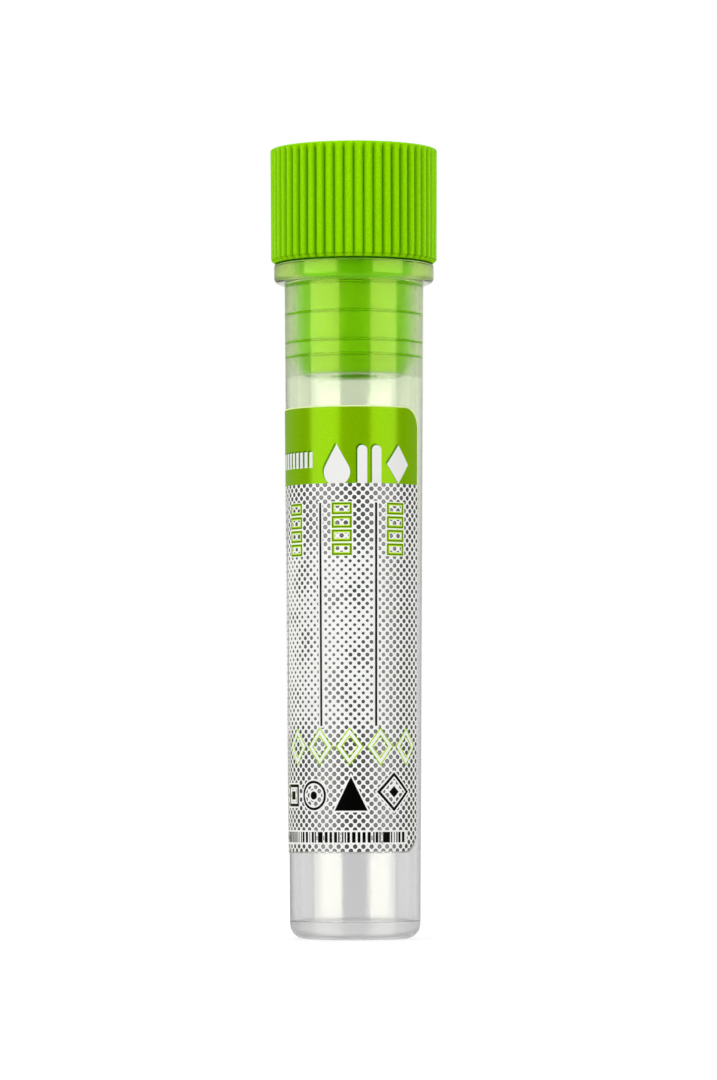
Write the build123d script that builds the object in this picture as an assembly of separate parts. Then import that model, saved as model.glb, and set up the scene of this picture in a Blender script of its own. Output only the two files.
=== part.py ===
"""Flat-based blood collection tube, a small format for about 2.5 ml, in millimetres.

The object is three moulded or cut pieces:
  tube      clear polypropylene, drafted body, hanging collar at the mouth, dished flat base
  stopper   polyethylene push-in plug with four sealing beads and a reeded finger grip, cored
            out from the top so that its walls stay even, with a thin web to pierce
  label     printed film wrapped round the drafted body, leaving a clear window to read the level

The origin is the centre of the base, on the plane that the tube stands on, and +Z runs up the
tube.  The printed front faces -Y.  Every piece is round about Z, so each section is drawn as
radius along X and height along Z, and then revolved.
"""

import math
import os

from build123d import *

# ---------------------------------------------------------------- tube
BODY_LENGTH = 56.4  # base plane to the underside of the collar
BODY_TOP_DIAMETER = 12.0  # outside, just under the collar
BODY_BASE_DIAMETER = 11.2  # outside, at the base plane; the difference is the mould's draft
WALL = 0.85
FLOOR = 1.5  # solid thickness under the bore
BASE_EDGE_RADIUS = 1.3
FLOOR_CHAMFER = 0.4  # inside corner of the bore
COLLAR_WIDTH = 0.9  # how far the collar stands out from the body, all round
COLLAR_HEIGHT = 1.6
COLLAR_LOWER_RADIUS = 0.5
COLLAR_UPPER_CHAMFER = 0.1
MOUTH_CHAMFER = 0.12
DISH_RADIUS = 3.2  # the base is dished inside this, and stands on the ring outside it
DISH_DEPTH = 0.3
GATE_RADIUS = 0.7
GATE_FACE = 0.15  # base plane to the stub's face, so the stub stays off the bench

# ---------------------------------------------------------------- stopper
HEAD_OVERHANG = 0.3  # how far the ribs stand out past the collar, all round
HEAD_HEIGHT = 10.0  # collar top to stopper top
HEAD_WALL = 1.5  # ribs included
HEAD_DRAFT = 0.05  # the head is this much smaller in radius at its foot
RIM_HEIGHT = 0.28  # plain band above the ribs
RIM_CHAMFER = 0.15
FOOT_CHAMFER = 0.34
RIB_COUNT = 52
GROOVE_DEPTH = 0.33
GROOVE_MOUTH = 0.5
GROOVE_FLOOR = 0.12
GROOVE_RUN_OUT = 0.7  # height over which a groove comes up to the surface, below the rim
RIB_EDGE_CHAMFER = 0.1
WEB = 1.5  # floor of the head's hollow, which joins the grip to the plug
PLUG_LENGTH = 9.6  # collar top to the plug's lower face
PLUG_WALL = 0.9
PLUG_GAP = 0.15  # plug to bore, between the beads
PLUG_NOSE_LENGTH = 1.6  # cone below the last bead
PLUG_NOSE_TAPER = 0.55
PLUG_NOSE_CHAMFER = 0.25
PIERCING_WEB = 0.8
PIERCING_RECESS_RADIUS = 2.05
PIERCING_RECESS_DEPTH = 0.5
WELL_CHAMFER = 0.3  # corners of the stopper's hollows
BEAD_HEIGHTS = [1.6, 2.85, 5.3, 7.8]  # above the plug's lower face
BEAD_WIDTH = 0.44
BEAD_CROWN = 0.14
BEAD_CLEARANCE = 0.02  # bead to bore, as a running fit

# ---------------------------------------------------------------- label
LABEL_HEIGHT = 38.1
LABEL_WIDTH = 29.0  # flat, along the wrap
LABEL_FILM = 0.07
LABEL_GLUE = 0.005  # clearance that stands for the adhesive
LABEL_BOTTOM = 7.4  # base plane to the label's lower edge
LABEL_CORNER_RADIUS = 1.6
LABEL_EDGE_ANGLE = 66.0  # from the front, towards +X, to the label's right-hand edge

# ---------------------------------------------------------------- worked out from the above
COLLAR_DIAMETER = BODY_TOP_DIAMETER + 2 * COLLAR_WIDTH
HEAD_DIAMETER = COLLAR_DIAMETER + 2 * HEAD_OVERHANG  # over the ribs
COLLAR_TOP = BODY_LENGTH + COLLAR_HEIGHT
STOPPER_TOP = COLLAR_TOP + HEAD_HEIGHT
PLUG_BOTTOM = COLLAR_TOP - PLUG_LENGTH
FRONT_ANGLE = -90.0  # direction of -Y, about Z from +X


def body_radius(height):
    """Outside radius of the drafted body at a height above the base plane."""
    share = height / BODY_LENGTH
    return (BODY_BASE_DIAMETER + (BODY_TOP_DIAMETER - BODY_BASE_DIAMETER) * share) / 2


def bore_radius(height):
    """Bore radius at a height: the body's draft less an even wall."""
    return body_radius(height) - WALL


def plug_radius(height):
    """Plug radius between the beads, which follows the bore."""
    return bore_radius(height) - PLUG_GAP


def corner(sketch, radius, height):
    """The sketch's vertex at a radius and height."""
    return sketch.vertices().sort_by_distance((radius, 0, height))[0]


def section(points):
    """A closed half section, drawn as radius along X and height along Z."""
    return make_face(Polyline([(radius, 0, height) for radius, height in points], close=True))


def rounded(sketch, radius, *places):
    """The section with a fillet of one radius at each place."""
    return fillet([corner(sketch, *place) for place in places], radius)


def broken(sketch, size, *places):
    """The section with a chamfer of one size at each place."""
    return chamfer([corner(sketch, *place) for place in places], size)


def turned(sketch):
    """A half section revolved about the tube's axis."""
    return revolve(sketch, Axis.Z, 360)


# ---------------------------------------------------------------- tube
def base_dish():
    """The shallow cone under the base, with the moulding gate's low stub left standing in it."""
    hollow = [(0, 0), (DISH_RADIUS, 0), (GATE_RADIUS, DISH_DEPTH), (GATE_RADIUS, GATE_FACE), (0, GATE_FACE)]
    return turned(section(hollow))


def make_tube():
    """Drafted body, collar, bore and dished base in one moulding."""
    collar = COLLAR_DIAMETER / 2
    body_foot = (body_radius(0), 0)
    collar_lower, collar_upper = (collar, BODY_LENGTH), (collar, COLLAR_TOP)
    mouth = (bore_radius(COLLAR_TOP), COLLAR_TOP)
    bore_foot = (bore_radius(FLOOR), FLOOR)
    outline = section(
        [
            (0, 0),
            body_foot,
            (body_radius(BODY_LENGTH), BODY_LENGTH),
            collar_lower,
            collar_upper,
            mouth,
            bore_foot,
            (0, FLOOR),
        ]
    )
    outline = rounded(outline, BASE_EDGE_RADIUS, body_foot)
    outline = rounded(outline, COLLAR_LOWER_RADIUS, collar_lower)
    outline = broken(outline, COLLAR_UPPER_CHAMFER, collar_upper)
    outline = broken(outline, MOUTH_CHAMFER, mouth)
    outline = broken(outline, FLOOR_CHAMFER, bore_foot)
    return turned(outline) - base_dish()


# ---------------------------------------------------------------- stopper
def head_envelope():
    """The grip before its grooves: drafted wall, plain rim above, chamfered foot."""
    crest = HEAD_DIAMETER / 2
    outline = section(
        [
            (0, COLLAR_TOP),
            (crest - HEAD_DRAFT - FOOT_CHAMFER, COLLAR_TOP),
            (crest - HEAD_DRAFT, COLLAR_TOP + FOOT_CHAMFER),
            (crest, STOPPER_TOP - RIM_HEIGHT),
            (crest, STOPPER_TOP),
            (0, STOPPER_TOP),
        ]
    )
    return turned(broken(outline, RIM_CHAMFER, (crest, STOPPER_TOP)))


def grip_grooves():
    """The grooves between the ribs: one flared slot with its edges eased, repeated round Z.

    The slot ends in a slope that climbs from the groove's floor to the crest below the rim.
    """
    crest = HEAD_DIAMETER / 2
    half_mouth, half_floor = GROOVE_MOUTH / 2, GROOVE_FLOOR / 2
    floor = (crest - GROOVE_DEPTH, half_floor)
    flank = (crest - RIB_EDGE_CHAMFER, half_mouth)
    beyond = (crest + RIB_EDGE_CHAMFER, half_mouth + 2 * RIB_EDGE_CHAMFER)
    later = [floor, flank, beyond]
    earlier = [(radius, -across) for radius, across in reversed(later)]
    slot = make_face(Polyline(later + earlier, close=True))
    slope = Plane((crest, 0, HEAD_HEIGHT - RIM_HEIGHT), z_dir=(-GROOVE_RUN_OUT, 0, GROOVE_DEPTH))
    cutter = Pos(0, 0, COLLAR_TOP) * split(extrude(slot, HEAD_HEIGHT), slope, Keep.BOTTOM)
    return [Rot(0, 0, 360 * i / RIB_COUNT + FRONT_ANGLE) * cutter for i in range(RIB_COUNT)]


def plug_outline():
    """Half section of the plug: four sealing beads, a cone nose and the recess under its web."""
    nose_top = PLUG_BOTTOM + PLUG_NOSE_LENGTH
    nose_end = plug_radius(nose_top) - PLUG_NOSE_TAPER
    nose_corner = (nose_end, PLUG_BOTTOM)
    core = section(
        [
            (0, PLUG_BOTTOM),
            nose_corner,
            (plug_radius(nose_top), nose_top),
            (plug_radius(COLLAR_TOP), COLLAR_TOP),
            (0, COLLAR_TOP),
        ]
    )
    core = broken(core, PLUG_NOSE_CHAMFER, nose_corner)
    for height in BEAD_HEIGHTS:
        core += bead_outline(PLUG_BOTTOM + height)
    return core


def bead_outline(height):
    """A sealing bead's section: a low ridge that stands out of the plug to a running fit in the bore."""
    half, half_crown = BEAD_WIDTH / 2, BEAD_CROWN / 2
    root = plug_radius(height) - PLUG_GAP
    crown = bore_radius(height) - BEAD_CLEARANCE
    return section(
        [
            (root, height - half),
            (crown, height - half_crown),
            (crown, height + half_crown),
            (root, height + half),
        ]
    )


def stopper_hollow():
    """The stepped hollow that cores the stopper out from its top, down to the piercing web."""
    head_floor = COLLAR_TOP + WEB
    well_floor = PLUG_BOTTOM + PIERCING_RECESS_DEPTH + PIERCING_WEB
    head_bore = HEAD_DIAMETER / 2 - HEAD_WALL
    plug_bore = plug_radius(well_floor) - PLUG_WALL
    outline = section(
        [
            (0, well_floor),
            (plug_bore, well_floor),
            (plug_bore, head_floor),
            (head_bore, head_floor),
            (head_bore, STOPPER_TOP),
            (0, STOPPER_TOP),
        ]
    )
    outline = broken(
        outline,
        WELL_CHAMFER,
        (plug_bore, well_floor),
        (plug_bore, head_floor),
        (head_bore, head_floor),
    )
    return turned(outline)


def piercing_recess():
    """The round recess that thins the plug's lower face to a web a needle can pierce."""
    disc = Cylinder(
        PIERCING_RECESS_RADIUS,
        PIERCING_RECESS_DEPTH,
        align=(Align.CENTER, Align.CENTER, Align.MIN),
    )
    return Pos(0, 0, PLUG_BOTTOM) * disc


def make_stopper():
    """Reeded grip, web and beaded plug in one moulding."""
    blank = head_envelope() - grip_grooves() + turned(plug_outline())
    return blank - stopper_hollow() - piercing_recess()


# ---------------------------------------------------------------- label
def corner_waste(angle, height, way_round, way_up):
    """What a rounded corner leaves off the film, drawn square to the film at that corner.

    way_round and way_up are +1 or -1: the ways from the corner to the middle of the label.
    """
    size = LABEL_CORNER_RADIUS
    spare = size / 4
    square = Pos((size - spare) / 2, (size - spare) / 2) * Rectangle(size + spare, size + spare)
    facing = way_round * way_up
    plane = Plane((0, 0, height), x_dir=(0, way_round, 0), z_dir=(facing, 0, 0))
    waste = plane * (square - Pos(size, size) * Circle(size))
    return Rot(0, 0, angle) * extrude(waste, facing * BODY_TOP_DIAMETER)


def make_label():
    """The film as a part turn of a thin cone on the body, with its four corners rounded."""
    foot, top = LABEL_BOTTOM, LABEL_BOTTOM + LABEL_HEIGHT
    inner, outer = LABEL_GLUE, LABEL_GLUE + LABEL_FILM
    film = section(
        [
            (body_radius(foot) + inner, foot),
            (body_radius(foot) + outer, foot),
            (body_radius(top) + outer, top),
            (body_radius(top) + inner, top),
        ]
    )
    wrap = math.degrees(LABEL_WIDTH / (body_radius((foot + top) / 2) + outer))
    waste = [
        corner_waste(angle, height, way_round, way_up)
        for angle, way_round in ((0, 1), (wrap, -1))
        for height, way_up in ((foot, 1), (top, -1))
    ]
    label = revolve(film, Axis.Z, wrap) - waste
    return Rot(0, 0, FRONT_ANGLE + LABEL_EDGE_ANGLE - wrap) * label


def main():
    """Writes each piece as its own STEP file."""
    os.makedirs("parts", exist_ok=True)
    pieces = {"tube": make_tube(), "stopper": make_stopper(), "label": make_label()}
    for name, piece in pieces.items():
        export_step(piece, f"parts/{name}.step")


main()
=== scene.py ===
"""Looks of the flat-based blood collection tube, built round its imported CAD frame.

The tube is three pieces: a clear moulded body, a ribbed push-in stopper and a film label.
Each has a class that holds its sizes and makes its mesh, and a finish that makes its material.
Sizes are in millimetres until a mesh is made, and the meshes are in metres, in the CAD's frame:
+Z runs up the tube from the plane that it stands on, and the label's printed front faces -Y.
"""

import logging
import math
from dataclasses import dataclass
from enum import Enum
from typing import Any, Callable, Union

import bpy
import numpy as np
from mathutils import Euler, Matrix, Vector

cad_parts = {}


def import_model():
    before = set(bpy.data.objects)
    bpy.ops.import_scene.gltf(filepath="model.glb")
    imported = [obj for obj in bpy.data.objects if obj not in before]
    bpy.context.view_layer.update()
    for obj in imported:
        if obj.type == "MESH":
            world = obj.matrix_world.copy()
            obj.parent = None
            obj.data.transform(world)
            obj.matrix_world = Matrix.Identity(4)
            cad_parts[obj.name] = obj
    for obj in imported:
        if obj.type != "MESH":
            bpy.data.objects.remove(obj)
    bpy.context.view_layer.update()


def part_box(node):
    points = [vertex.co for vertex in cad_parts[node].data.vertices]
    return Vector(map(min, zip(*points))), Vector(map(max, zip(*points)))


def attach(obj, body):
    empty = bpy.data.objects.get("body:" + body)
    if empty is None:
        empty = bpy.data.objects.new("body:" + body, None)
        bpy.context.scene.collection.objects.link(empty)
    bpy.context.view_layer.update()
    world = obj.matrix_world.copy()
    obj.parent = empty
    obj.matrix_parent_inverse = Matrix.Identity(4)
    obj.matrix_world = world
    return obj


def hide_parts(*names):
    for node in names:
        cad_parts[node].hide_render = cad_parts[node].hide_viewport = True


LOG = logging.getLogger("tube")
MM = 0.001  # metres in a millimetre
FRONT = -math.pi / 2  # direction of -Y, about Z from +X
Array = np.ndarray
Thing = bpy.types.Object
Material = bpy.types.Material
Socket = bpy.types.NodeSocket
Pair = tuple[float, float]
Triple = tuple[float, float, float]
Colour = Triple  # red, green and blue, linear
Corner = Triple  # radius from the axis, height, and rounding radius


class Body(Enum):
    """The CAD bodies that a piece can ride on."""

    TUBE = "tube_body"
    STOPPER = "stopper_body"


class Slot(Enum):
    """The record's material slots."""

    TUBE = "tube_clear"
    STOPPER = "stopper_green"
    LABEL = "label_film"


# ---------------- outlines and meshes
def rounded_path(corners: list[Corner], steps: int) -> Array:
    """An outline with its corners rounded.

    At a corner with unit directions a and b towards its neighbours, the arc's centre lies along
    a + b at radius / sin(half the angle between them), and the arc sweeps evenly from the foot
    of the centre on one side to its foot on the other.  A radius of 0 leaves the corner as it is.

    Args:
        corners: the outline's corners, in order.
        steps: how many spans each arc gets.

    Returns:
        The outline's points, as rows of radius and height.
    """
    data = np.array(corners, float)
    at, rounding = data[:, :2], data[:, 2]
    back = np.roll(at, 1, 0) - at
    ahead = np.roll(at, -1, 0) - at
    back /= np.linalg.norm(back, axis=1)[:, None]
    ahead /= np.linalg.norm(ahead, axis=1)[:, None]
    between = np.arccos(np.clip((back * ahead).sum(1), -1, 1))
    halfway = back + ahead
    halfway /= np.maximum(np.linalg.norm(halfway, axis=1), 1e-9)[:, None]
    centre = at + halfway * (rounding / np.sin(between / 2))[:, None]
    foot = at + back * (rounding / np.tan(between / 2))[:, None] - centre
    sweep = (math.pi - between) * np.sign(back[:, 1] * ahead[:, 0] - back[:, 0] * ahead[:, 1])
    turn = sweep[:, None] * np.linspace(0, 1, steps + 1)
    cos, sin = np.cos(turn), np.sin(turn)
    arc_r = centre[:, :1] + foot[:, :1] * cos - foot[:, 1:] * sin
    arc_z = centre[:, 1:] + foot[:, :1] * sin + foot[:, 1:] * cos
    points = np.stack([arc_r, arc_z], 2).reshape(-1, 2)
    apart = np.linalg.norm(np.diff(points, axis=0, prepend=points[:1] - 1), axis=1)
    return points[apart > 1e-7]


def divided(path: Array, longest: float) -> Array:
    """The same outline with every span cut evenly, so that none is longer than a given length.

    Args:
        path: rows of radius and height.
        longest: the longest span left.

    Returns:
        The divided outline.
    """
    span = np.diff(path, axis=0)
    count = np.maximum(1, np.ceil(np.linalg.norm(span, axis=1) / longest)).astype(int)
    owner = np.repeat(np.arange(len(span)), count)
    first = np.cumsum(count) - count
    share = (np.arange(count.sum()) - first[owner]) / count[owner]
    return np.vstack([path[owner] + span[owner] * share[:, None], path[-1:]])


def directions(columns: int) -> Array:
    """Even directions about Z, in radians, the first of them to the front."""
    return FRONT + np.arange(columns) * (2 * math.pi / columns)


def at_height(outline: Array, height: float) -> Array:
    """A flat outline's points, as rows of x and y, lifted to one height."""
    return np.column_stack([outline, np.full(len(outline), height)])


def heading(angle: Array) -> Array:
    """Rows of x and y, 1 long, at angles from the front towards +X."""
    return np.stack([np.sin(angle), -np.cos(angle)], 1)


def about_axis(radius: Array, angle: Array, height: Array) -> Array:
    """Points at radii along directions about Z and at one height for each row, rows by columns by 3."""
    level = np.repeat(height[:, None], radius.shape[1], 1)
    return np.stack([radius * np.cos(angle), radius * np.sin(angle), level], 2)


def make_mesh(name: str, points: Array, faces: list[Array], smooth_below: float = 30.0) -> Thing:
    """A mesh object at the origin, from points in millimetres.

    Args:
        name: the object's name.
        points: the vertices' places, one row each.
        faces: arrays of vertex numbers, one row for each face.
        smooth_below: edges that turn by less than this many degrees are shaded smooth.

    Returns:
        The new object, linked to the scene.
    """
    mesh = bpy.data.meshes.new(name)
    loops = np.concatenate([f.ravel() for f in faces]).astype(np.int32)
    sizes = np.concatenate([np.full(len(f), f.shape[1]) for f in faces]).astype(np.int32)
    mesh.vertices.add(len(points))
    mesh.vertices.foreach_set("co", (points * MM).astype(np.float32).ravel())
    mesh.loops.add(len(loops))
    mesh.loops.foreach_set("vertex_index", loops)
    mesh.polygons.add(len(sizes))
    mesh.polygons.foreach_set("loop_start", (np.cumsum(sizes) - sizes).astype(np.int32))
    mesh.update(calc_edges=True)
    mesh.shade_smooth()
    mesh.set_sharp_from_angle(angle=math.radians(smooth_below))
    mesh.validate()
    thing = bpy.data.objects.new(name, mesh)
    bpy.context.scene.collection.objects.link(thing)
    return thing


def turned_shell(name: str, radius: Array, height: Array, angle: Array, smooth_below: float = 30.0) -> Thing:
    """A closed shell about Z: the point at row i and column j is at radius[i, j] along the
    direction angle[j], and at height[i].  The first and last rows lie on the axis and become
    one vertex each.

    Args:
        name: the object's name.
        radius: rows by columns of distances from the axis.
        height: one height for each row.
        angle: one direction about Z for each column, in radians, increasing.
        smooth_below: as in make_mesh.

    Returns:
        The new object.
    """
    rings, columns = radius.shape[0] - 2, radius.shape[1]
    around = about_axis(radius[1:-1], angle, height[1:-1]).reshape(-1, 3)
    points = np.vstack([around, [(0, 0, height[0]), (0, 0, height[-1])]])
    j = np.arange(columns)
    ahead = (j + 1) % columns
    row = np.arange(rings - 1)[:, None] * columns
    quads = np.stack([row + j, row + ahead, row + columns + ahead, row + columns + j], 2)
    low, high = len(points) - 2, len(points) - 1
    last = (rings - 1) * columns
    fan_low = np.stack([np.full(columns, low), ahead, j], 1)
    fan_high = np.stack([np.full(columns, high), last + j, last + ahead], 1)
    return make_mesh(name, points, [quads.reshape(-1, 4), fan_low, fan_high], smooth_below)


# ---------------- shader expressions
class Nodes:
    """A node tree, and the one way in which this file adds nodes to it."""

    def __init__(self, tree: bpy.types.NodeTree) -> None:
        """Takes a tree and empties it."""
        self.tree = tree
        tree.nodes.clear()

    def add(self, kind: str, inputs: dict[Any, Any], **settings: Any) -> bpy.types.Node:
        """Adds a node.

        Args:
            kind: the node's type, without the word ShaderNode before it.
            inputs: its sockets by name or number, each with a number, colour, socket or Value.
            settings: its properties, which are set first.

        Returns:
            The new node.
        """
        node = self.tree.nodes.new("ShaderNode" + kind)
        for key, value in settings.items():
            setattr(node, key, value)
        for key, value in inputs.items():
            self.feed(node.inputs[key], value)
        return node

    def feed(self, socket: Socket, value: Any) -> None:
        """Links a socket to another one, or sets its number or colour.

        Args:
            socket: the input.
            value: a socket, Value, number, vector, or a colour without its alpha.
        """
        source = value.socket if isinstance(value, Value) else value
        if isinstance(source, Socket):
            self.tree.links.new(source, socket)
        elif isinstance(source, tuple) and len(source) == 3 and socket.type == "RGBA":
            socket.default_value = (*source, 1.0)
        else:
            socket.default_value = source

    def end(self, kind: str, inputs: dict[Any, Any], output: str = "OutputMaterial") -> None:
        """Ends the tree in a shader of a kind with the given inputs."""
        shader = self.add(kind, inputs)
        self.add(output, {"Surface": shader.outputs[0]})

    def place(self) -> Socket:
        """The object's own coordinates, in metres."""
        return self.add("TexCoord", {}).outputs["Object"]

    def axes(self, vector: Any, unit: float = 1.0) -> list["Value"]:
        """A vector's x, y and z in a unit, as numbers that can be reckoned with."""
        return [Value(self, part) / unit for part in self.add("SeparateXYZ", {0: vector}).outputs]

    def blend(self, share: Any, low: Any, high: Any) -> Socket:
        """The colour that lies a share of the way from one colour to another."""
        return self.add("Mix", {0: share, 6: low, 7: high}, data_type="RGBA").outputs[2]

    def noise(self, vector: Any, scale: float, detail: float) -> "Value":
        """Smooth noise from 0 to 1 over a vector."""
        node = self.add("TexNoise", {"Vector": vector, "Scale": scale, "Detail": detail})
        return Value(self, node.outputs[0])

    def bump(self, relief: "Value", height: float) -> Socket:
        """The normal of a relief, of which 1 stands for a height in millimetres."""
        inputs = {"Strength": 1.0, "Distance": height * MM, "Height": relief}
        return self.add("Bump", inputs).outputs[0]

    def seen(self) -> "Value":
        """1 for what the camera sees, straight, in a reflection or through the tube, else 0."""
        path = self.add("LightPath", {}).outputs
        seen = Value(self, path["Is Camera Ray"])
        return seen | path["Is Glossy Ray"] | path["Is Transmission Ray"]


Number = Union["Value", float]


def operator(operation: str, first: bool = True) -> Callable[..., "Value"]:
    """A method that puts a value through a Math node, before its other terms or after them."""
    return lambda value, *others: value.math(operation, *others, first=first)


class Value:
    """A number in a shader: arithmetic on it adds the Math nodes that work it out."""

    def __init__(self, nodes: Nodes, socket: Socket) -> None:
        """Wraps a socket of a tree."""
        self.nodes, self.socket = nodes, socket

    def math(self, operation: str, *others: Number, first: bool = True) -> "Value":
        """A Math node.

        Args:
            operation: the node's operation.
            others: the other terms.
            first: whether this value comes before them.

        Returns:
            The result.
        """
        terms = (self, *others) if first else (*others, self)
        node = self.nodes.add("Math", dict(enumerate(terms)), operation=operation)
        return Value(self.nodes, node.outputs[0])

    __add__ = operator("ADD")
    __sub__ = operator("SUBTRACT")
    __rsub__ = operator("SUBTRACT", first=False)
    __mul__ = operator("MULTIPLY")
    __truediv__ = operator("DIVIDE")
    __abs__ = operator("ABSOLUTE")
    __lt__ = operator("LESS_THAN")  # 1 where it holds, else 0
    __gt__ = operator("GREATER_THAN")
    __or__ = operator("MAXIMUM")  # either mask
    __and__ = operator("MINIMUM")  # both masks

    def length(self, other: "Value") -> "Value":
        """Length of the vector of this and another: the root of the sum of their squares."""
        return (self * self + other * other).math("SQRT")

    def wave(self, pitch: float) -> "Value":
        """How far this is past the nearest whole multiple of a pitch, from -pitch/2 to pitch/2."""
        return (self / pitch + 0.5).math("FRACT") * pitch - pitch / 2

    def ramp(self, low: float, high: float) -> "Value":
        """0 below one value, 1 above another, and a straight line between them."""
        node = self.nodes.add("MapRange", {0: self, 1: low, 2: high}, clamp=True)
        return Value(self.nodes, node.outputs[0])


def new_material(name: str) -> tuple[Material, Nodes]:
    """An empty node material and its tree."""
    material = bpy.data.materials.new(name)
    material.use_nodes = True
    return material, Nodes(material.node_tree)


# ---------------- finishes
@dataclass(frozen=True)
class ClearPolypropylene:
    """Clear polypropylene: polished, but matt under the base and scuffed where the beads slide.

    Each blend holds the height where a change starts and the one where it is full.  The green tints up the
    neck, over the plug and in the collar are painted light from the stopper.
    """

    tint: Colour = (0.64, 0.64, 0.635)
    bore_tint: Colour = (0.99, 0.99, 0.99)
    painted_edge_highlight: Colour = (0.97, 0.97, 0.965)  # painted highlight: a lighter tint under the base, where the matt edge catches the light
    base_tint: Colour = (0.65, 0.65, 0.645)
    base_blend: Pair = (0.1, 1.2)
    neck_painted_green_light: Colour = (0.64, 0.73, 0.49)  # painted light: the stopper's green light, carried down the wall
    neck_blend: Pair = (30.0, 48.0)
    # painted light: the stopper's green light, stronger over the plug
    plug_painted_green_light: Colour = (0.63, 0.73, 0.40)
    plug_blend: Pair = (48.5, 50.5)
    # painted light: the stopper's green light, strongest in the collar
    collar_painted_green_light: Colour = (0.465, 0.675, 0.155)
    collar_foot: float = 56.35  # height from which the collar's painted green light shows
    collar_root: float = 6.05  # radius from which it has it
    glint: Colour = (1.0, 1.0, 0.82)
    neck_lime_painted_glint: Colour = (1.0, 1.0, 0.25)  # painted light: over the plug, the gloss is tinted lime for the stopper's green light
    wall_middle: float = 5.4  # a radius inside the wall, all the way up
    base_top: float = 1.45
    floor_top: float = 1.65
    scuff_blend: Pair = (48.1, 48.3)
    roughness: float = 0.12
    bore_roughness: float = 0.1
    scuffed_roughness: float = 0.32
    base_roughness: float = 0.4
    floor_roughness: float = 0.03
    haze: float = 0.04  # how much the roughness varies
    coat_roughness: float = 0.06
    index: float = 1.45
    ripple: float = 0.0025  # height of the flow ripple
    ripple_stretch: float = 0.12  # its frequency along the tube, as a share of that across it

    def material(self, name: str, glint: Colour) -> Material:
        """The material, whose ripple is noise drawn out along the tube.

        Args:
            name: the material's name.
            glint: the colour of its gloss.

        Returns:
            The new material.
        """
        material, nodes = new_material(name)
        place = nodes.place()
        drawn = nodes.add("Mapping", {"Vector": place, "Scale": (1, 1, self.ripple_stretch)})
        flow = nodes.noise(drawn.outputs[0], 420.0, 1.0)
        haze = nodes.noise(place, 900.0, 3.0)
        x, y, z = nodes.axes(place, MM)
        radius = x.length(y)
        in_bore = radius < self.wall_middle
        scuffed = in_bore & z.ramp(*self.scuff_blend)
        matt = z < self.base_top
        on_floor = in_bore & (z < self.floor_top) & (z > self.base_top)
        on_collar = (z > self.collar_foot) & (radius > self.collar_root)
        # painted light: the stopper's green light is laid into the wall's colour up the neck, over the plug
        # and in the collar
        colour = nodes.blend(z.ramp(*self.neck_blend), self.tint, self.neck_painted_green_light)
        colour = nodes.blend(z.ramp(*self.plug_blend), colour, self.plug_painted_green_light)
        colour = nodes.blend(on_collar, colour, self.collar_painted_green_light)
        colour = nodes.blend(in_bore, colour, self.bore_tint)
        # painted highlight: the matt base grows lighter towards its lower edge
        base = nodes.blend(z.ramp(*self.base_blend), self.painted_edge_highlight, self.base_tint)
        roughness = (
            haze.ramp(0.2, 0.8) * self.haze
            + (self.roughness - self.haze / 2)
            + in_bore * (self.bore_roughness - self.roughness)
            + scuffed * (self.scuffed_roughness - self.bore_roughness)
            + matt * (self.base_roughness - self.roughness)
            + on_floor * (self.floor_roughness - self.bore_roughness)
        )
        inputs = {
            "Base Color": nodes.blend(matt, colour, base),
            "Roughness": roughness,
            "IOR": self.index,
            "Transmission Weight": 1.0,
            "Coat Weight": matt,
            "Coat Roughness": self.coat_roughness,
            "Specular Tint": glint,
            "Normal": nodes.bump(flow, self.ripple),
        }
        nodes.end("BsdfPrincipled", inputs)
        return material


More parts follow.
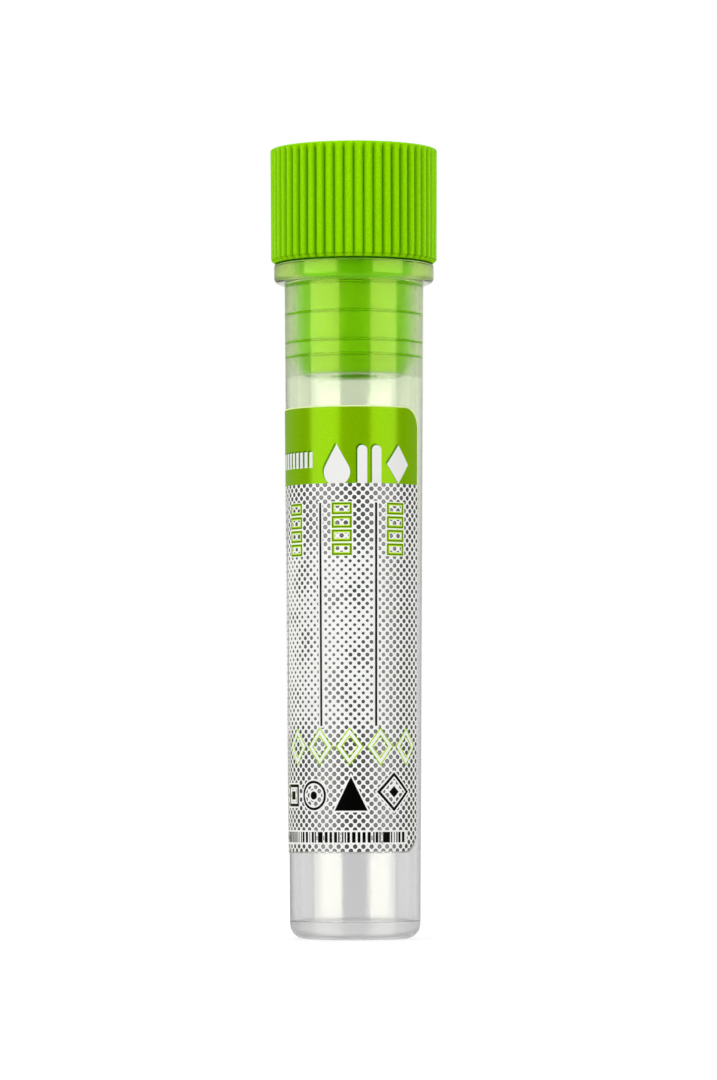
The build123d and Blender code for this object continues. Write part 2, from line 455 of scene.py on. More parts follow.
@dataclass(frozen=True)
class LimePolyethylene:
    """Lime green polyethylene, spark-textured on the grip and polished on the plug, with painted shade in
    its grooves, on its beads and over the seat, and painted light on its foot.
    """

    colour: Colour = (0.335, 0.79, 0.0)
    deep: Colour = (0.25, 0.65, 0.0)  # in the pits of the spark texture
    # painted shade: the colour that darkens the grooves and the head's hollow
    groove: Colour = (0.14, 0.42, 0.0)
    # painted light: the downward-facing foot is painted lighter, and its grooves' painted shade is lighter
    # there
    foot_painted_light: Colour = (0.365, 0.86, 0.0)
    foot_painted_groove_shade: Colour = (0.28, 0.69, 0.0)
    # painted shadow: the dark line in the gap over the seat
    painted_seat_shadow: Colour = (0.02, 0.16, 0.0)
    plug_colour: Colour = (0.31, 0.80, 0.0)
    # painted shade: the beads' crowns darker than the plug
    painted_bead_shade: Colour = (0.25, 0.66, 0.0)
    glint: Colour = (0.8, 1.0, 0.0)
    groove_shade: float = 0.85  # share of the depth over which a groove's painted shade darkens
    seat_shadow_height: float = 0.16  # of the painted shadow over the seat
    foot_blend: float = 0.1
    bead_edge: float = 0.1  # how far out of the plug a bead's painted shade begins
    grain: float = 0.012  # height of the spark texture
    grain_share: float = 0.7  # share of the colour's unevenness that follows the grain
    grip_roughness: float = 0.6
    plug_roughness: float = 0.2
    bleed: float = 0.15  # weight of the light that wanders inside
    bleed_reach: float = 0.6  # how far it does

    def material(self, stopper: "RibbedStopper") -> Material:
        """The material: fine grain above the seat, smooth below it, and painted shade and light laid into
        the colour.

        Args:
            stopper: the piece that wears it.

        Returns:
            The new material.
        """
        material, nodes = new_material("lime_polyethylene")
        place = nodes.place()
        x, y, z = nodes.axes(place, MM)
        radius, rise = x.length(y), z - stopper.tube.rim
        on_grip = rise > 0.0
        grain = nodes.noise(place, 5500.0, 3.0)
        cloud = nodes.noise(place, 500.0, 2.0)
        shade = grain.ramp(0.32, 0.68) * self.grain_share + cloud * (1 - self.grain_share)
        under_foot = (stopper.foot - rise) | 0.0
        # painted shade: the colour darkens down into each groove
        groove_floor = stopper.crest - stopper.groove_depth * self.groove_shade
        raised = (radius + under_foot).ramp(groove_floor, stopper.crest - 0.01)
        # painted light on the foot's cone, with lighter painted shade in its grooves
        foot = nodes.blend(raised, self.foot_painted_groove_shade, self.foot_painted_light)
        colour = nodes.blend(raised, self.groove, nodes.blend(shade, self.deep, self.colour))
        colour = nodes.blend(rise.ramp(stopper.foot, stopper.foot + self.foot_blend), foot, colour)
        # painted shade inside the head's hollow and on its underside
        inside = radius < (stopper.crest - stopper.groove_depth - stopper.foot)
        colour = nodes.blend(inside, colour, self.groove)
        # painted shadow along the seat
        colour = nodes.blend(rise < self.seat_shadow_height, colour, self.painted_seat_shadow)
        # painted shade on the beads, where they touch the bore
        on_bead = radius > (stopper.plug(z) + self.bead_edge)
        plug = nodes.blend(on_bead, self.plug_colour, self.painted_bead_shade)
        inputs = {
            "Base Color": nodes.blend(on_grip, plug, colour),
            "Roughness": on_grip * (self.grip_roughness - self.plug_roughness) + self.plug_roughness,
            "Specular IOR Level": 0.15,
            "Specular Tint": self.glint,
            "Subsurface Weight": self.bleed,
            "Subsurface Radius": (0.6, 1.0, 0.15),
            "Subsurface Scale": self.bleed_reach * MM,
            "Normal": nodes.bump(grain * on_grip, self.grain),
        }
        nodes.end("BsdfPrincipled", inputs)
        return material


@dataclass(frozen=True)
class PrintedFilm:
    """Metallised film under a white ink screen, with a green head field and black and green print.

    The print is laid out on the film laid flat: x runs along the wrap from the front's middle,
    and z is the height above the plane that the tube stands on, both in millimetres.
    """

    silver: Colour = (0.135, 0.133, 0.13)
    dull_silver: Colour = (0.086, 0.086, 0.086)
    # painted shade round each dot, where the ink's edge shades the bare film
    painted_dot_rim_shade: Colour = (0.02, 0.02, 0.02)
    white: Colour = (0.86, 0.86, 0.845)
    screen_white: Colour = (0.93, 0.93, 0.915)
    glint: Colour = (1.0, 1.0, 0.2)
    green: Colour = (0.26, 0.53, 0.0)
    deep_green: Colour = (0.175, 0.41, 0.0)
    margin: Colour = (0.80, 0.90, 0.45)
    # painted shadow along the film's lower cut edge
    painted_edge_shadow: Colour = (0.42, 0.42, 0.41)
    shadow: Colour = (0.04, 0.19, 0.0)
    lime: Colour = (0.52, 0.78, 0.02)
    dark_green: Colour = (0.09, 0.26, 0.0)
    black: Colour = (0.002, 0.002, 0.002)
    back: Colour = (0.86, 0.86, 0.85)
    dull_back: Colour = (0.78, 0.78, 0.78)
    shift: float = 0.13  # how far the white print's green shadow is out of register
    halo: float = 0.14  # width of the plain white round the black print
    low: float = 7.4
    high: float = 45.5
    right: float = 6.73
    left: float = -22.27
    corner: float = 1.9
    border: float = 0.12
    margin_top: float = 8.4  # height where the lower margin, painted with the edge shadow, ends
    field_foot: float = 38.85
    cell: float = 0.724  # side of a cell of the dots' lattice
    large_dot: float = 0.19
    small_dot: float = 0.125
    dot_rim: float = 0.05
    box_row: float = 34.97  # middle heights of the rows of print
    rule_row: float = 27.7
    lozenge_row: float = 16.45
    symbol_row: float = 12.3
    bar_row: float = 8.75
    relief: float = 0.004  # height of the ink

    def back_material(self) -> Material:
        """The film's plain back, as it shows through the tube's window."""
        material, nodes = new_material("film_back")
        cloud = nodes.noise(nodes.place(), 300.0, 3.0)
        colour = nodes.blend(cloud, self.dull_back, self.back)
        inputs = {"Base Color": colour, "Roughness": cloud * 0.2 + 0.35, "Metallic": 0.1}
        nodes.end("BsdfPrincipled", inputs)
        return material

    def distance(self, across: Value, up: Value, half_length: float = 0.0) -> Value:
        """How far a place, across and up from the middle of an upright line, is from that line."""
        return across.length((abs(up) - half_length) | 0.0)

    def dots(self, x: Value, z: Value, plane: Any) -> tuple[Value, Value]:
        """Masks of the dots that the white screen leaves bare, and of their rims.

        The lattice is square and stands on its corner: its axes are the sum and the difference
        of x and z, and each dot is the disc round the nearest lattice point.  The dots are large
        where a cloud of noise is dense, and at the field's top, foot and right-hand side.

        Args:
            x: place along the wrap.
            z: height.
            plane: both as a vector.

        Returns:
            The dots' mask, and the mask of what lies outside their middles.
        """
        u, w = ((x + z) / self.cell).wave(1.0), ((x - z) / self.cell).wave(1.0)
        off = ((u + w) * (self.cell / 2)).length((u - w) * (self.cell / 2))
        ends = z.ramp(32.0, 34.5) | (1 - z.ramp(17.0, 19.5)) | x.ramp(1.6, 3.2) * 0.8
        share = (x.nodes.noise(plane, 0.32, 2.0).ramp(0.5, 0.62) * 0.6) | ends
        radius = share * (self.large_dot - self.small_dot) + self.small_dot
        return off < radius, off > (radius - self.dot_rim)

    def head_figures(self, x: Value, z: Value) -> Value:
        """Mask of a drop, two posts, a diamond and a row of bars, which stand white on green.

        The drop is a ball under a cone that touches it, so the sine of the cone's half angle is
        the ball's radius over the distance from the ball's middle to the tip.

        Args:
            x: place along the wrap.
            z: height.

        Returns:
            The mask.
        """
        rise = z - self.field_foot
        middle, radius, tip = 0.95, 1.15, 3.35
        lean = math.asin(radius / (tip - middle))
        cone = abs(x + 1.5) < ((tip - rise) * math.tan(lean))
        ball = self.distance(x + 1.5, rise - middle) < radius
        drop = ball | (cone & (rise > (middle + radius * math.sin(lean))))
        posts = self.distance(abs(x - 1.3) - 0.62, rise - 1.4, 1.43) < 0.42
        diamond = (abs(x - 4.0) / 1.15 + abs(rise - 1.65) / 1.65) < 1
        bars = (abs(x + 6.6) < 3.0) & (abs(rise - 2.05) < 0.675) & (abs(x.wave(0.56)) < 0.17)
        return (drop | posts | diamond | bars) & (rise > -0.01)

    def black_print(self, x: Value, z: Value) -> Value:
        """Distance outside the black print: rules, plain symbols, and a line of fine bars.

        Each shape gives how far a point is outside it, and less than 0 inside it.  Where shapes
        cross, the larger distance holds, and of separate shapes the smaller one.

        Args:
            x: place along the wrap.
            z: height.

        Returns:
            The distance.
        """
        up = z - self.symbol_row
        rules = (abs((x + 3.01).wave(4.87)) - 0.1) | (abs(z - self.rule_row) - 9.5) | (abs(x + 5.5) - 8.0)
        off = self.distance(x + 3.85, up)
        circle = (abs(off - 1.15) - 0.11) & (off - 0.35)
        triangle = ((abs(x + 0.35) + z * 0.5) * 0.894 - 6.215) | (11.0 - z)
        across = abs(x - 3.6) + abs(up - 0.3)
        diamond = ((abs(across - 1.5) - 0.17) & (across - 0.5)) * 0.7
        side = abs(x + 6.7) | abs(up)
        square = (abs(side - 0.82) - 0.12) & (side - 0.35)
        line = x.nodes.add("CombineXYZ", {0: x}).outputs[0]
        gaps = 0.48 - x.nodes.noise(line, 4.4, 0.0)
        bars = gaps | (abs(z - self.bar_row) - 0.45) | (abs(x + 8.0) - 13.0)
        return rules & circle & triangle & diamond & square & bars

    def green_lines(self, x: Value, z: Value) -> tuple[Value, Value, Value]:
        """Stacks of outlined boxes at the heads, and a row of double-line lozenges below.

        A lozenge's edge is where the offsets from its middle, as shares of its half width a and
        half height b, add up to 1, and the distance from it is the sum less 1, times
        a b / root(a squared + b squared).

        Args:
            x: place along the wrap.
            z: height.

        Returns:
            Masks of the outlines' dark cores, of their lime fringes, and of the plain white.
        """
        pitch = 1.16
        rung = (z - self.box_row - pitch / 2).wave(pitch)
        edge = (abs((x + 1.08).wave(4.8)) - 0.78) | (abs(rung) - 0.42)
        near_head = (abs(z - self.box_row) < 2 * pitch) & (abs(x + 3.5) < 9.5)
        wide, tall = 0.95, 1.25
        slope = wide * tall / math.hypot(wide, tall)
        link, up = (x + 0.46).wave(2.72), z - self.lozenge_row
        between = abs(abs(link) * (slope / wide) + abs(up) * (slope / tall) - slope)
        near_band = (abs(up) < 2.0) & (abs(x + 0.46) < 6.8)
        core = (abs(edge) < 0.065) & near_head
        fringe = (abs(edge + 0.03) < 0.13) & near_head | (abs(between - 0.19) < 0.06) & near_band
        plain = ((between < 0.16) & near_band) | ((abs(edge) < 0.2) & near_head)
        return core, fringe, plain

    def inside(self, x: Value, z: Value) -> Value:
        """Mask of the film less its border: a box whose corners are discs."""
        inset = self.border + self.corner
        over_x = (x - (self.right - inset)) | ((self.left + inset) - x)
        over_z = (z - (self.high - inset)) | ((self.low + inset) - z)
        return (over_x | 0.0).length(over_z | 0.0) < self.corner

    def face_material(self) -> Material:
        """The printed face: ink over the silver film, with the silver bare in the dots."""
        material, nodes = new_material("printed_film")
        plane = nodes.add("UVMap", {}, uv_map="film").outputs[0]
        x, z, _ = nodes.axes(plane)
        bare, rim = self.dots(x, z, plane)
        within, on_field = self.inside(x, z), z > self.field_foot
        figures = self.head_figures(x, z)
        green = on_field & within & (1 - figures)
        core, fringe, plain = self.green_lines(x, z)
        outside = self.black_print(x, z)
        black = outside < 0.0
        screen = (z < self.field_foot) & bare & (1 - (plain | (outside < self.halo)))
        grit = nodes.noise(plane, 9.0, 3.0)
        silver = nodes.blend(grit, self.dull_silver, self.silver)
        # painted shade on the dots' rims
        silver = nodes.blend(rim, silver, self.painted_dot_rim_shade)
        leaf = nodes.blend(grit.ramp(0.3, 0.7), self.deep_green, self.green)
        shade = self.head_figures(x + self.shift, z - self.shift) & (1 - figures)
        leaf = nodes.blend(shade, leaf, self.shadow)
        # the border: pale print at the head, painted edge shadow below
        margin = nodes.blend(on_field, self.painted_edge_shadow, self.margin)
        on_margin = (on_field | (z < self.margin_top)) & (1 - within)
        colour = nodes.blend(z < self.field_foot, self.white, self.screen_white)
        colour = nodes.blend(screen, colour, silver)
        colour = nodes.blend(green, colour, leaf)
        colour = nodes.blend(on_margin, colour, margin)
        colour = nodes.blend(fringe, colour, nodes.blend(screen, self.lime, self.dark_green))
        colour = nodes.blend(core, colour, self.dark_green)
        inked = 1 - (core | fringe | black)
        inputs = {
            "Base Color": nodes.blend(black, colour, self.black),
            "Roughness": 0.55 - screen * 0.12 - green * 0.35,
            "Metallic": ((screen | (green * 0.115)) & inked) | black,
            "Specular IOR Level": 0.1,
            "Specular Tint": self.glint,
            "Normal": nodes.bump(1 - screen * inked + grit * green * 1.2, self.relief),
        }
        nodes.end("BsdfPrincipled", inputs)
        return material


# ---------------- the three pieces
@dataclass
class ClearTube:
    """The clear moulding: drafted body, hanging collar, rounded base edge and dished base."""

    length: float = 56.4
    top_radius: float = 6.0
    base_radius: float = 5.6
    wall: float = 0.85
    floor: float = 1.5
    floor_rounding: float = 0.15
    base_rounding: float = 1.3
    collar_radius: float = 6.9
    collar_height: float = 1.6
    collar_rounding: float = 0.5
    collar_lip: float = 0.12
    mouth_rounding: float = 0.15
    neck_rounding: float = 0.12
    neck_foot: float = 48.4  # where the stopper's nose ends
    dish_radius: float = 3.2
    dish_depth: float = 0.3
    dish_rounding: float = 0.6
    gate_radius: float = 0.7
    gate_face: float = 0.15
    gate_rounding: float = 0.05
    columns: int = 256
    finish: ClearPolypropylene = ClearPolypropylene()

    @property
    def rim(self) -> float:
        """Height of the collar's top."""
        return self.length + self.collar_height

    def outer(self, height: Any) -> Any:
        """Outside radius of the body: a straight line from the base radius to the top radius."""
        return height * ((self.top_radius - self.base_radius) / self.length) + self.base_radius

    def bore(self, height: Any) -> Any:
        """Bore radius: the outside radius less the wall."""
        return self.outer(height) - self.wall

    def outline(self) -> Array:
        """The half section, from the axis under the base, up the outside and down the bore."""
        corners = [
            (0, self.gate_face, 0),
            (self.gate_radius, self.gate_face, self.gate_rounding),
            (self.gate_radius + self.gate_rounding, self.dish_depth, self.gate_rounding),
            (self.dish_radius, 0, self.dish_rounding),
            (self.outer(0), 0, self.base_rounding),
            (self.outer(self.neck_foot), self.neck_foot, 0),
            (self.outer(self.length), self.length, self.neck_rounding),
            (self.collar_radius, self.length, self.collar_rounding),
            (self.collar_radius, self.rim, self.collar_lip),
            (self.bore(self.rim), self.rim, self.mouth_rounding),
            (self.bore(self.neck_foot), self.neck_foot, 0),
            (self.bore(self.floor), self.floor, self.floor_rounding),
            (0, self.floor, 0),
        ]
        return divided(rounded_path(corners, steps=10), longest=1.2)

    def build(self) -> Thing:
        """The tube's mesh, dressed and riding on its body."""
        path = self.outline()
        radius = np.repeat(path[:, :1], self.columns, 1)
        piece = turned_shell("clear_tube", radius, path[:, 1], directions(self.columns))
        mesh = piece.data
        mesh.materials.append(self.finish.material("clear_polypropylene", self.finish.glint))
        mesh.materials.append(self.finish.material("clear_polypropylene_neck", self.finish.neck_lime_painted_glint))
        middles = np.zeros(3 * len(mesh.polygons), np.float32)
        mesh.polygons.foreach_get("center", middles)
        on_neck = middles[2::3] > self.neck_foot * MM
        mesh.polygons.foreach_set("material_index", on_neck.astype(np.int32))
        return settle(piece, Body.TUBE, "tube")


@dataclass
class RibbedStopper:
    """The green moulding: ribbed grip, piercing web, and a plug with sealing beads."""

    tube: ClearTube
    crest: float = 7.2
    draft: float = 0.05
    top: float = 68.0
    rim_height: float = 0.14
    rim_rounding: float = 0.12
    foot: float = 0.34
    foot_rounding: float = 0.08
    seat_gap: float = 0.12
    seat_rounding: float = 0.05
    head_bore: float = 5.7
    mouth_rounding: float = 0.25
    hollow_rounding: float = 0.4
    web: float = 1.5
    plug_gap: float = 0.15
    plug_wall: float = 0.9
    plug_foot: float = 48.4
    nose_length: float = 1.6
    nose_taper: float = 0.55
    nose_rounding: float = 0.4
    recess_radius: float = 2.05
    recess_depth: float = 0.5
    recess_rounding: float = 0.08
    membrane: float = 0.8
    bead_heights: tuple[float, ...] = (1.6, 2.85, 5.3, 7.8)
    bead_half: float = 0.16
    bead_bite: float = 0.035
    bead_roundings: Pair = (0.05, 0.04)  # at its feet, and at its crown
    ribs: int = 52
    groove_depth: float = 0.33
    crown_power: float = 1.95
    groove_run_out: float = 0.5
    rib_columns: int = 12
    finish: LimePolyethylene = LimePolyethylene()

    @property
    def rim_foot(self) -> float:
        """Height of the plain rim's lower edge."""
        return self.top - self.rim_height

    def plug(self, height: Any) -> Any:
        """Plug radius between the beads, which follows the bore."""
        return self.tube.bore(height) - self.plug_gap

    def bead(self, height: float) -> list[Corner]:
        """Corners of the sealing bead at a height, from its lower foot to its upper one."""
        half, (at_foot, at_crown) = self.bead_half, self.bead_roundings
        crown = self.tube.bore(height) + self.bead_bite
        return [
            (self.plug(height - half), height - half, at_foot),
            (crown, height - half / 2, at_crown),
            (crown, height + half / 2, at_crown),
            (self.plug(height + half), height + half, at_foot),
        ]

    def outline(self) -> Array:
        """The half section, from the axis under the plug, up the outside and down the hollow."""
        seat = self.tube.rim + self.seat_gap
        nose_top = self.plug_foot + self.nose_length
        well_floor = self.plug_foot + self.recess_depth + self.membrane
        well = self.plug(well_floor) - self.plug_wall
        web_top = self.tube.rim + self.web
        beads = [corner for height in self.bead_heights for corner in self.bead(self.plug_foot + height)]
        run_out = [self.rim_foot - self.groove_run_out * share for share in (1, 0.6, 0.3, 0.1, 0)]
        corners = [
            (0, self.plug_foot + self.recess_depth, 0),
            (self.recess_radius, self.plug_foot + self.recess_depth, self.recess_rounding),
            (self.recess_radius, self.plug_foot, self.recess_rounding),
            (self.plug(nose_top) - self.nose_taper, self.plug_foot, self.nose_rounding),
            *beads,
            (self.plug(seat), seat, self.seat_rounding),
            (self.crest - self.draft - self.foot, seat, self.seat_rounding),
            (self.crest - self.draft, seat + self.foot, self.foot_rounding),
            *((self.crest, height, 0) for height in run_out),
            (self.crest, self.top, self.rim_rounding),
            (self.head_bore, self.top, self.mouth_rounding),
            (self.head_bore, web_top, self.hollow_rounding),
            (well, web_top, self.hollow_rounding),
            (well, well_floor, self.hollow_rounding),
            (0, well_floor, 0),
        ]
        return divided(rounded_path(corners, steps=5), longest=1.6)

    def grooved(self, path: Array, angle: Array) -> Array:
        """Radii of the shell, with the grip's ribs cut in.

        A rib's crown falls from the crest by the groove's depth times a power of the share of the
        way from its middle to the next groove's, so that its flanks meet the next rib's in a
        sharp groove.  The depth runs out towards the rim as a root of the distance left.  A cut
        never stands out of the outline, so it takes the smaller of the two radii.

        Args:
            path: the outline, as rows of radius and height.
            angle: the columns' directions.

        Returns:
            Rows by columns of radii.
        """
        radius, height = path[:, :1], path[:, 1:]
        share = np.abs(((angle - FRONT) * self.ribs / (2 * math.pi)) % 1 - 0.5) * 2
        fall = self.groove_depth * share**self.crown_power
        fade = np.sqrt(np.clip((self.rim_foot - height) / self.groove_run_out, 0, 1))
        on_grip = (radius > (self.head_bore + self.crest) / 2) & (height > self.tube.rim)
        on_grip &= height < self.rim_foot + 0.01
        whole = np.repeat(radius, len(angle), 1)
        on_foot = height < self.tube.rim + self.seat_gap + self.foot
        cut = np.minimum(self.crest - fall * fade, whole - fall * on_foot)
        return np.where(on_grip, np.minimum(whole, cut), whole)

    def build(self) -> Thing:
        """The stopper's mesh, dressed and riding on its body."""
        path = self.outline()
        angle = directions(self.ribs * self.rib_columns)
        radius = self.grooved(path, angle)
        piece = turned_shell("ribbed_stopper", radius, path[:, 1], angle, smooth_below=40.0)
        piece.data.materials.append(self.finish.material(self))
        return settle(piece, Body.STOPPER, "stopper")


@dataclass
class FilmLabel:
    """The film wrapped on the drafted body, with rounded corners."""

    tube: ClearTube
    low: float = PrintedFilm.low
    high: float = PrintedFilm.high
    width: float = PrintedFilm.right - PrintedFilm.left
    film: float = 0.07
    glue: float = 0.005
    corner: float = PrintedFilm.corner
    right_edge: float = math.radians(66.0)
    columns: int = 180
    corner_rows: int = 13
    side_rows: int = 26
    finish: PrintedFilm = PrintedFilm()

    @property
    def middle_radius(self) -> float:
        """Radius of the film's face halfway up."""
        return self.tube.outer((self.low + self.high) / 2) + self.glue + self.film

    def skin(self, offset: float) -> tuple[Array, Array]:
        """One face of the film.

        Rows run up the label and are close together in its rounded corners, where each row ends
        short of the side edge by corner - root(corner squared - d squared), d being the row's
        distance into the corner.  A place along the wrap becomes an angle by dividing it by the
        middle radius, and its radius is the body's there plus an offset.

        Args:
            offset: distance of the face from the body.

        Returns:
            The points, rows by columns by 3, and their places on the flat film, rows by columns
            by 2.
        """
        ease = self.corner * (1 - np.cos(np.linspace(0, math.pi / 2, self.corner_rows)))
        lower, upper = self.low + ease, self.high - ease[::-1]
        sides = np.linspace(lower[-1], upper[0], self.side_rows)[1:-1]
        rows = np.concatenate([lower, sides, upper])
        into = np.maximum(0, np.maximum(self.low + self.corner - rows, rows - self.high + self.corner))
        short = self.corner - np.sqrt(np.maximum(0, self.corner**2 - into**2))
        right = self.right_edge * self.middle_radius
        share = np.linspace(0, 1, self.columns)
        share -= np.sin(2 * math.pi * share) * 0.08  # closer together towards the side edges
        start, end = (right - self.width + short)[:, None], (right - short)[:, None]
        along = start * (1 - share) + end * share
        angle = FRONT + along / self.middle_radius
        radius = np.repeat((self.tube.outer(rows) + offset)[:, None], self.columns, 1)
        points = about_axis(radius, angle, rows)
        return points, np.stack([along, points[:, :, 2]], 2)

    def build(self) -> Thing:
        """The label's mesh, dressed and riding on the tube: a face, a back, and an edge round both."""
        face, flat = self.skin(self.glue + self.film)
        back, _ = self.skin(self.glue)
        rows, columns = face.shape[:2]
        number = np.arange(rows * columns).reshape(rows, columns)
        a, b = number[:-1, :-1].ravel(), number[:-1, 1:].ravel()
        c, d = number[1:, 1:].ravel(), number[1:, :-1].ravel()
        offset = rows * columns
        front = np.stack([a, b, c, d], 1)
        rear = np.stack([a, d, c, b], 1) + offset
        rim = np.concatenate([number[0], number[1:, -1], number[-1, -2::-1], number[-2:0:-1, 0]])
        after = np.roll(rim, -1)
        edge = np.stack([rim + offset, after + offset, after, rim], 1)
        points = np.vstack([face.reshape(-1, 3), back.reshape(-1, 3)])
        piece = make_mesh("film_label", points, [front, rear, edge], smooth_below=40.0)
        mesh = piece.data
        loops = np.zeros(len(mesh.loops), np.int32)
        mesh.loops.foreach_get("vertex_index", loops)
        places = np.vstack([flat.reshape(-1, 2)] * 2)[loops]
        mesh.uv_layers.new(name="film").uv.foreach_set("vector", places.astype(np.float32).ravel())
        mesh.materials.append(self.finish.face_material())
        mesh.materials.append(self.finish.back_material())
        kinds = np.zeros(len(mesh.polygons), np.int32)
        kinds[len(front) : len(front) + len(rear)] = 1
        mesh.polygons.foreach_set("material_index", kinds)
        return settle(piece, Body.TUBE, "label")


def settle(piece: Thing, body: Body, node: str) -> Thing:
    """Rides a piece on its body, and lets it stand for its CAD node.

    Args:
        piece: the finished object.
        body: the CAD body that carries it.
        node: the CAD node that it replaces.

    Returns:
        The same object.
    """
    low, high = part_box(node)
    mine = np.array([tuple(corner) for corner in piece.bound_box])
    slack = max(np.abs(mine.min(0) - np.array(low)).max(), np.abs(mine.max(0) - np.array(high)).max())
    faces = len(piece.data.polygons)
    LOG.info("%s: %d faces, within %.3f mm of CAD node %s", piece.name, faces, slack / MM, node)
    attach(piece, body.value)
    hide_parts(node)
    return piece


# ---------------- the studio
@dataclass(frozen=True)
class Card:
    """A flat card that only reflections see: it stands upright and faces the tube."""

    name: str
    from_azimuth: float  # degrees from the front, towards +X
    to_azimuth: float
    level: float
    distance: float = 500.0
    height: float = 610.0
    mirrored: bool = True  # whether it shows as a reflection on a piece's outside
    through: bool = False  # whether it shows through the tube


@dataclass
class Studio:
    """Floor, backdrop, lamps and camera round the tube.

    The lamps and the camera are placed in metres, and the cards and the floor in millimetres.
    """

    right_box: Triple = (27.3, 74.3, 4.1)  # degrees from the front, and level
    left_box: Triple = (-76.3, -24.3, 4.4)
    box_distance: float = 0.6
    box_height: float = 0.42
    box_rise: float = 0.09
    back_level: float = 0.9
    back_size: Pair = (0.6, 0.6)
    back_place: Triple = (0.42, 0.46, 0.25)  # on the right, and mirrored
    back_aim: float = 0.04  # height
    top_level: float = 1.3
    top_size: Pair = (0.7, 0.7)
    top_place: Triple = (0.0, 0.1, 0.75)
    fill: float = 0.3
    floor_side: float = 6000.0
    floor_level: float = -0.02
    floor_albedo: float = 0.42
    floor_glow: Pair = (0.68, 0.92)  # near the tube, and far away
    floor_blend: Pair = (0.05, 0.9)  # metres from the tube where near ends and far starts
    card_middle: float = 30.0  # height
    cards: tuple[Card, ...] = (
        Card("front_card", -24.0, 27.0, 0.04, 300.0, 410.0, through=True),
        Card("right_flag", 75.2, 95.0, 0.02),
        Card("right_side", 95.0, 128.0, 0.3),
        Card("right_wing", 128.5, 168.0, 0.6),
        Card("left_flag", -101.0, -77.2, 0.02),
        Card("left_side", -128.0, -101.0, 0.3),
        Card("left_wing", -168.0, -128.5, 0.35),
        Card("right_screen", 120.0, 170.0, 1.1, 520.0, mirrored=False, through=True),
        Card("left_screen", -170.0, -120.0, 1.1, 520.0, mirrored=False, through=True),
    )
    under_reach: float = 22.0
    under_level: float = 0.72
    base_edge: float = 5.25  # radius of the base's rounding where the mirrored band ends
    base_card_length: float = 20.0
    base_card_level: float = 2.0
    lens: float = 167.6
    camera_distance: float = 0.433
    camera_height: float = 0.01405
    camera_x: float = 0.0003
    camera_roll: float = 0.13  # degrees
    aim_height: float = 0.03427

    def lamp(self, name: str, level: float, size: Pair, place: Vector, aim: Vector) -> None:
        """A softbox of a given brightness: its power is pi times its level times its area.

        Args:
            name: the lamp's name.
            level: its brightness.
            size: its width and height.
            place: where it stands.
            aim: the point that it faces.
        """
        light = bpy.data.lights.new(name, "AREA")
        light.shape = "RECTANGLE"
        light.size, light.size_y = size
        light.energy = math.pi * level * size[0] * size[1]
        lamp = bpy.data.objects.new(name, light)
        lamp.location = place
        lamp.rotation_euler = (aim - place).to_track_quat("-Z", "Y").to_euler()
        lamp.visible_camera = False
        bpy.context.scene.collection.objects.link(lamp)

    def softboxes(self) -> None:
        """Two tall softboxes in front at the sides, two dimmer ones behind, and one overhead."""
        aim = Vector((0, 0, self.box_rise))
        sides = (("right_softbox", self.right_box), ("left_softbox", self.left_box))
        for name, (start, end, level) in sides:
            middle, half = math.radians((start + end) / 2), math.radians((end - start) / 2)
            place = aim + Vector((math.sin(middle), -math.cos(middle), 0)) * self.box_distance
            width = 2 * self.box_distance * math.tan(half)
            self.lamp(name, level, (width, self.box_height), place, aim)
        aim = Vector((0, 0, self.back_aim))
        for side, name in ((1, "right_back_softbox"), (-1, "left_back_softbox")):
            place = Vector((side * self.back_place[0], *self.back_place[1:]))
            self.lamp(name, self.back_level, self.back_size, place, aim)
        self.lamp("top_softbox", self.top_level, self.top_size, Vector(self.top_place), Vector((0, 0, 0)))

    def glow(
        self, name: str, points: Array, level: float, mirrored: bool = True, through: bool = False
    ) -> None:
        """A glowing card that the camera doesn't see and that lights no matt surface.

        Args:
            name: the card's name.
            points: its corners, in order round it.
            level: its brightness.
            mirrored: whether it shows in reflections.
            through: whether it shows through the tube.
        """
        piece = make_mesh(name, points, [np.arange(len(points))[None, :]])
        material, nodes = new_material(name)
        nodes.end("Emission", {"Color": (level,) * 3, "Strength": 1.0})
        piece.data.materials.append(material)
        piece.visible_camera = False
        piece.visible_diffuse = False
        piece.visible_glossy = mirrored
        piece.visible_transmission = through
        piece.visible_shadow = False

    def card(self, card: Card) -> None:
        """Makes one upright card: a plane between two directions, at its distance."""
        sides = np.radians([card.from_azimuth, card.to_azimuth])
        ends = heading(sides) * (card.distance / math.cos((sides[1] - sides[0]) / 2))
        low, high = self.card_middle - card.height / 2, self.card_middle + card.height / 2
        points = np.vstack([at_height(ends, low), at_height(ends[::-1], high)])
        self.glow(card.name, points, card.level, card.mirrored, card.through)

    def under_card(self) -> None:
        """A round card under the tube, whose rim's points are at even angles at one radius."""
        circle = self.under_reach * heading(np.linspace(0, 2 * math.pi, 64, endpoint=False))
        self.glow("under_card", at_height(circle, -0.01), self.under_level, through=True)

    def base_card(self, name: str, box: Triple) -> None:
        """A glowing wedge under the tube, where the base's rounding mirrors a softbox's place.

        The rounding mirrors at half a direction what stands in the full one, so the wedge's near
        edge lies under it in the half directions, and the wedge runs out along the full ones.

        Args:
            name: the card's name.
            box: the softbox's two directions in degrees from the front, and its level.
        """
        away = np.radians(np.linspace(box[0], box[1], 17))
        near = self.base_edge * heading(away / 2)
        far = near + self.base_card_length * heading(away)
        self.glow(name, at_height(np.vstack([near[::-1], far]), -0.005), self.base_card_level)

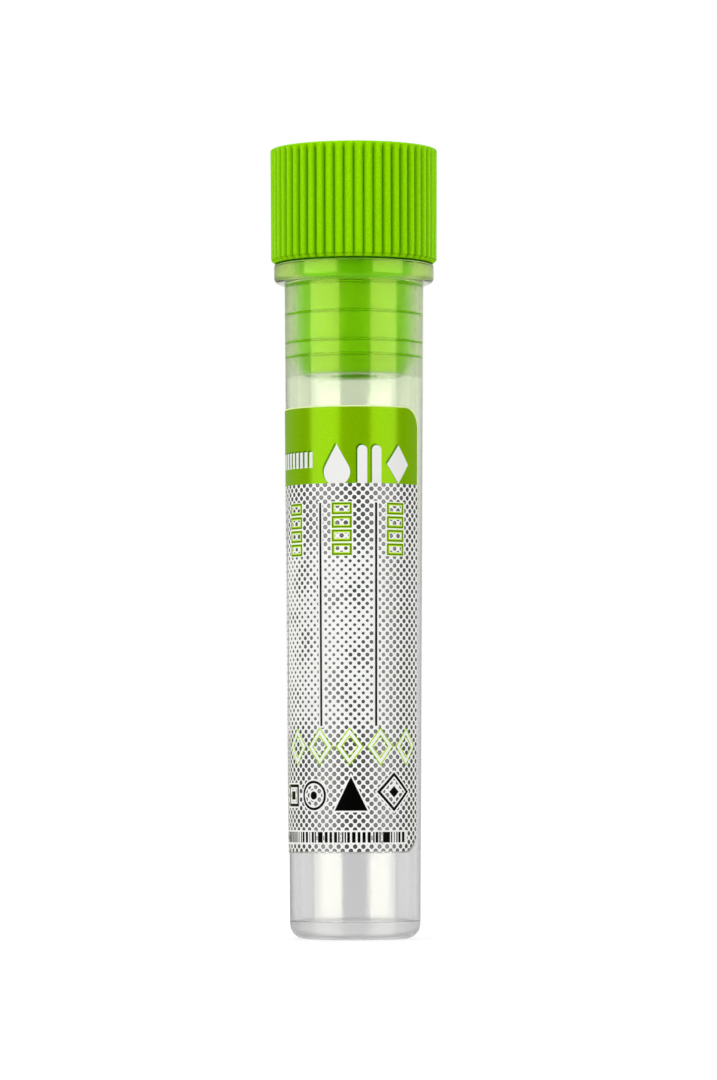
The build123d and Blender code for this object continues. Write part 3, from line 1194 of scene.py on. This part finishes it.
    def floor(self) -> None:
        """A wide pale floor that keeps the tube's shadow: a matt white with a glow under it."""
        square = np.array([(-1, -1), (1, -1), (1, 1), (-1, 1)]) * (self.floor_side / 2)
        piece = make_mesh("floor", at_height(square, self.floor_level), [np.array([[0, 1, 2, 3]])])
        material, nodes = new_material("pale_floor")
        matt = nodes.add("BsdfDiffuse", {"Color": (self.floor_albedo,) * 3})
        away = nodes.add("VectorMath", {0: nodes.place()}, operation="LENGTH").outputs["Value"]
        near, far = self.floor_glow
        level = Value(nodes, away).ramp(*self.floor_blend) * (far - near) + near
        glow = nodes.add("Emission", {"Color": (1.0, 1.0, 1.0), "Strength": nodes.seen() * level})
        both = nodes.add("AddShader", {0: matt.outputs[0], 1: glow.outputs[0]})
        behind = nodes.add("NewGeometry", {}).outputs["Backfacing"]
        clear = nodes.add("BsdfTransparent", {})
        nodes.end("MixShader", {0: behind, 1: both.outputs[0], 2: clear.outputs[0]})
        piece.data.materials.append(material)
        piece.visible_glossy = False
        piece.visible_transmission = False

    def backdrop(self) -> None:
        """A white surround where it is seen, and a soft fill where it lights a matt surface."""
        world = bpy.data.worlds.new("surround")
        bpy.context.scene.world = world
        world.use_nodes = True
        nodes = Nodes(world.node_tree)
        strength = nodes.seen() * (1 - self.fill) + self.fill
        nodes.end("Background", {"Color": (1.0, 1.0, 1.0), "Strength": strength}, "OutputWorld")

    def camera(self) -> None:
        """A long lens, low down and tilted up a little."""
        data = bpy.data.cameras.new("camera")
        data.lens = self.lens
        data.clip_start, data.clip_end = 0.01, 20.0
        camera = bpy.data.objects.new("camera", data)
        camera.location = (self.camera_x, -self.camera_distance, self.camera_height)
        pitch = math.atan2(self.aim_height - self.camera_height, self.camera_distance)
        camera.rotation_euler = Euler((math.pi / 2 + pitch, math.radians(self.camera_roll), 0))
        bpy.context.scene.collection.objects.link(camera)
        bpy.context.scene.camera = camera

    def build(self) -> None:
        """Everything round the tube."""
        self.camera()
        self.softboxes()
        for card in self.cards:
            self.card(card)
        self.floor()
        self.under_card()
        self.base_card("right_base_card", self.right_box)
        self.base_card("left_base_card", self.left_box)
        self.backdrop()
        bpy.context.scene.view_settings.view_transform = "Standard"


def plain(corners: Any) -> list[list[float]]:
    """A box's corners as plain lists."""
    return [[float(value) for value in corner] for corner in corners]


def main() -> None:
    """Builds the studio and the three pieces, and logs each one as it is built."""
    logging.basicConfig(level=logging.INFO, format="%(name)s: %(message)s")
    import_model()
    Studio().build()
    tube = ClearTube()
    for piece in (tube.build(), RibbedStopper(tube).build(), FilmLabel(tube).build()):
        LOG.info("built %s", piece.name)


if __name__ == "__main__":
    main()
